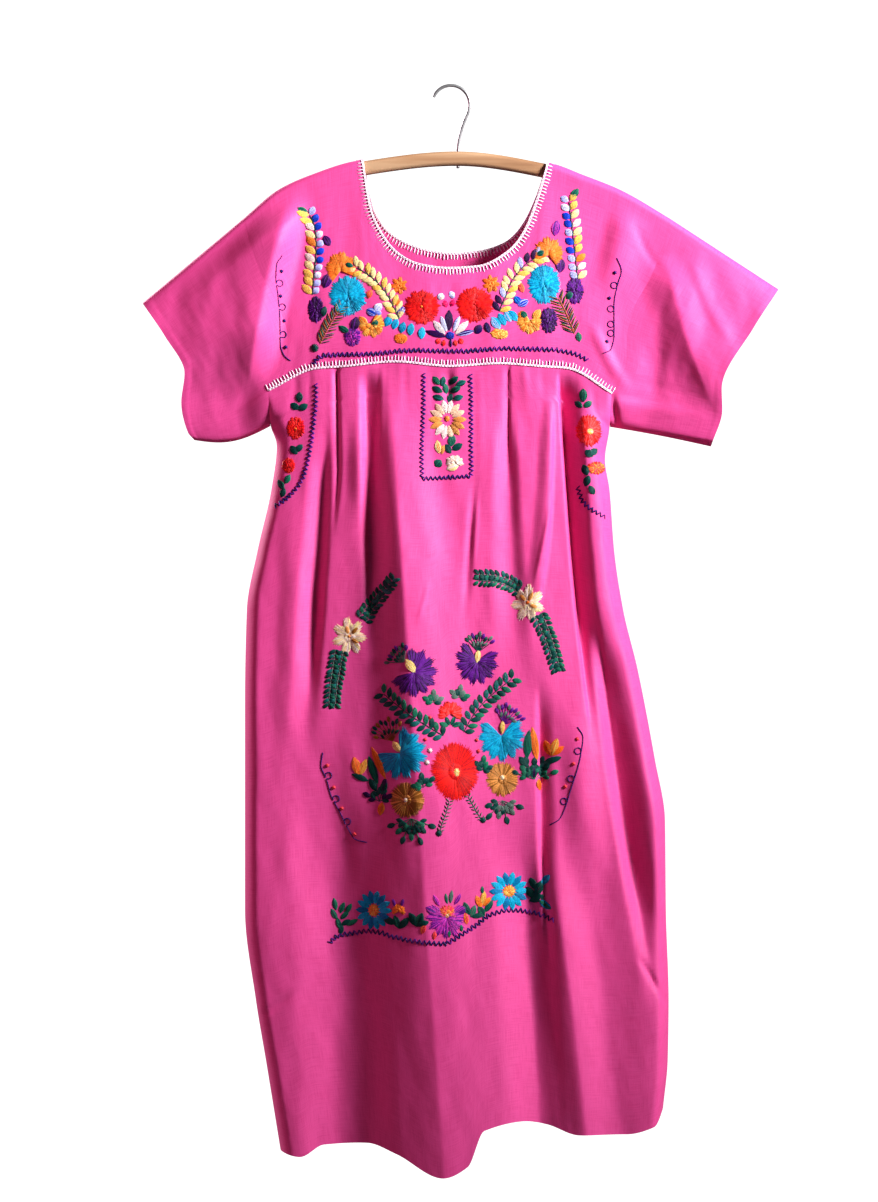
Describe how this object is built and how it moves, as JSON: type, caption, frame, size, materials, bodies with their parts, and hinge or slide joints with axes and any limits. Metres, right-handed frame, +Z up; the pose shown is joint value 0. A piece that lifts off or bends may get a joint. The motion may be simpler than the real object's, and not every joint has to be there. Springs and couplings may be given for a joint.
{
  "type": "mexican dress on a wooden hanger",
  "caption": "Loose embroidered cotton dress with a round neck, short wide sleeves and a skirt pleated onto a yoke, hanging on a bent wooden hanger with a wire hook.",
  "frame": {"origin": "underside of the top of the hook, where a rod or peg holds the hanger", "axes": "+Z up, the front of the dress faces -Y, +X to the right as seen from the front"},
  "size_m": [0.6997, 0.119, 1.1964],
  "materials": {
    "cotton": "hot pink plain-weave cotton, matt, embroidered in coloured thread",
    "wood": "light brown bent wood, satin varnish",
    "hook_wire": "bright plated wire"
  },
  "bodies": {
    "root": {"yoke": "cotton", "sleeve_left": "cotton", "sleeve_right": "cotton", "skirt_front": "cotton", "skirt_back": "cotton", "hanger_bar": "wood", "hanger_hook": "hook_wire"}
  },
  "joints": []
}
